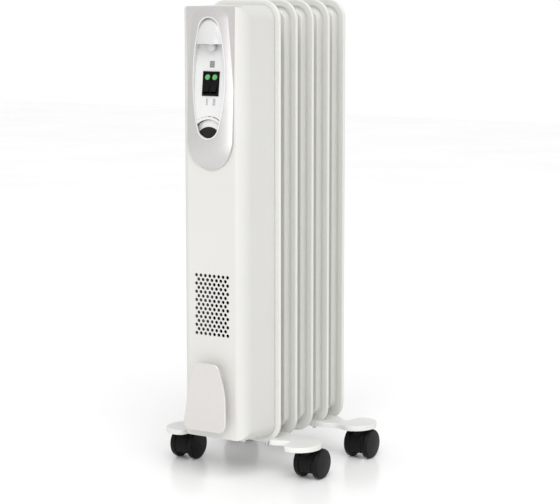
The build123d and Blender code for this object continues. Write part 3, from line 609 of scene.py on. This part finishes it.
def make_icon():
    """The grey radiator symbol above the rockers: upright bars joined by three rails."""
    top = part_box("switch_body")[1].z
    middle = top + ICON_RISE
    shapes = []
    for i in range(ICON_BARS):
        x = (i - (ICON_BARS - 1) / 2) * ICON_PITCH
        shapes.append(bar(x, middle, ICON_BAR_WIDTH, ICON_HEIGHT))
    xs = [ICON_RAIL_LENGTH * (i / ICON_RAIL_SPANS - 0.5) for i in range(ICON_RAIL_SPANS + 1)]
    for z in (middle - ICON_RAIL_SPACING, middle, middle + ICON_RAIL_SPACING):
        lower = [(x, z - ICON_RAIL_HALF_WIDTH) for x in xs]
        upper = [(x, z + ICON_RAIL_HALF_WIDTH) for x in xs]
        shapes.append((lower, upper))
    print_piece("print_icon", shapes)


def make_setting_marks():
    """The marks under the rockers: dashes in one column on the left and two on the right, by a line."""
    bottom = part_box("switch_body")[0].z
    middle = bottom - MARK_DROP
    for name, x, offsets, gap in (
        ("left", -MARK_X, (0.0,), MARK_LINE_GAP_SINGLE),
        ("right", MARK_X, (-MARK_OFFSET, MARK_OFFSET), MARK_LINE_GAP_DOUBLE),
    ):
        shapes = []
        for offset in offsets:
            for k in range(MARK_DASHES):
                level = middle + (k - (MARK_DASHES - 1) / 2) * MARK_DASH_PITCH
                shapes.append(bar(x + offset, level, MARK_DASH_WIDTH, MARK_DASH_HEIGHT))
        shapes.append(bar(x + gap, middle, MARK_LINE_WIDTH, MARK_LINE_HEIGHT))
        print_piece(f"print_mark_{name}", shapes)


def make_dial_scale():
    """The dial's scale: arc dashes that grow thicker clockwise."""
    shapes = []
    for start, end, width in SCALE_DASHES:
        steps = max(4, round((end - start) / SCALE_STEP))
        angles = [math.radians(start + (end - start) * i / steps) for i in range(steps + 1)]
        rails = []
        for radius in (SCALE_RADIUS - width / 2, SCALE_RADIUS + width / 2):
            rails.append([(radius * math.sin(a), dial_centre[2] + radius * math.cos(a)) for a in angles])
        shapes.append((rails[0], rails[1]))
    print_piece("print_dial_scale", shapes)


make_icon()
make_setting_marks()
make_dial_scale()

# ------------------------------------------------------------------ floor, light and camera

FLOOR_HALF = 6.0
FLOOR_GLOSS = 0.25
FLOOR_CLOUDS = 2.0
BACKDROP_BRIGHTNESS = 1.0
SURROUND_LIGHT = 0.80
SUN_DIRECTION = (0.42, -0.56, 0.71)
SUN_STRENGTH = 1.6
SUN_SPREAD = 45
CARD_POSITION = (0.35, -3.2, 0.35)
CARD_TARGET = (0, 0, 0.45)
CARD_SIZE = (1.1, 1.3)
CARD_POWER = 12
CAMERA_POSITION = (1.3634, -2.0770, 0.6387)
CAMERA_AZIMUTH = 32.69
CAMERA_PITCH = 8.06
CAMERA_SENSOR = 36.0
CAMERA_LENS = 121.3


def make_floor():
    """A plain pale studio floor."""
    mesh = bmesh.new()
    bmesh.ops.create_grid(mesh, x_segments=2, y_segments=2, size=FLOOR_HALF)
    data = bpy.data.meshes.new("floor")
    mesh.to_mesh(data)
    mesh.free()
    floor = bpy.data.objects.new("floor", data)
    floor.location = (0, 0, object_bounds()[0].z)
    scene.collection.objects.link(floor)
    mat, tree, shader, coords = start_material("studio_floor")
    shade = noise(tree, coords, FLOOR_CLOUDS, detail=2.0)
    tone = two_tones(tree, shade, (0.955, 0.955, 0.955), (0.965, 0.965, 0.965))
    tree.links.new(tone, shader.inputs["Base Color"])
    roughness_map = remap(tree, shade, low=0.20, high=0.24)
    tree.links.new(roughness_map, shader.inputs["Roughness"])
    shader.inputs["Specular IOR Level"].default_value = FLOOR_GLOSS
    data.materials.append(mat)


def make_front_card():
    """A soft box in front of the object."""
    data = bpy.data.lights.new("front_card", "AREA")
    data.shape = "RECTANGLE"
    data.size, data.size_y = CARD_SIZE
    data.energy = CARD_POWER
    card = bpy.data.objects.new("front_card", data)
    card.location = CARD_POSITION
    aim = Vector(CARD_TARGET) - Vector(CARD_POSITION)
    card.rotation_euler = aim.to_track_quat("-Z", "Y").to_euler()
    scene.collection.objects.link(card)


def make_world():
    """White surroundings: one brightness as a backdrop and a lower one as light on the object."""
    world = bpy.data.worlds.new("studio")
    world.use_nodes = True
    tree = world.node_tree
    background = tree.nodes["Background"]
    background.inputs["Color"].default_value = (1, 1, 1, 1)
    rays = tree.nodes.new("ShaderNodeLightPath")
    seen = rays.outputs["Is Camera Ray"]
    strength = remap(tree, seen, low=SURROUND_LIGHT, high=BACKDROP_BRIGHTNESS, from_low=0.0, from_high=1.0)
    tree.links.new(strength, background.inputs["Strength"])
    scene.world = world


def make_sun():
    """Broad soft light from one direction, even over the whole floor."""
    data = bpy.data.lights.new("soft_sun", "SUN")
    data.energy = SUN_STRENGTH
    data.angle = math.radians(SUN_SPREAD)
    sun = bpy.data.objects.new("soft_sun", data)
    sun.rotation_euler = Vector(SUN_DIRECTION).to_track_quat("Z", "Y").to_euler()
    scene.collection.objects.link(sun)


def make_camera():
    """The camera, from the front right and slightly above."""
    data = bpy.data.cameras.new("camera")
    data.sensor_width = CAMERA_SENSOR
    data.lens = CAMERA_LENS
    camera = bpy.data.objects.new("camera", data)
    camera.location = CAMERA_POSITION
    camera.rotation_euler = (math.radians(90 - CAMERA_PITCH), 0, math.radians(CAMERA_AZIMUTH))
    scene.collection.objects.link(camera)
    scene.camera = camera


make_floor()
make_world()
make_sun()
make_front_card()
scene.view_settings.view_transform = "Standard"
make_camera()
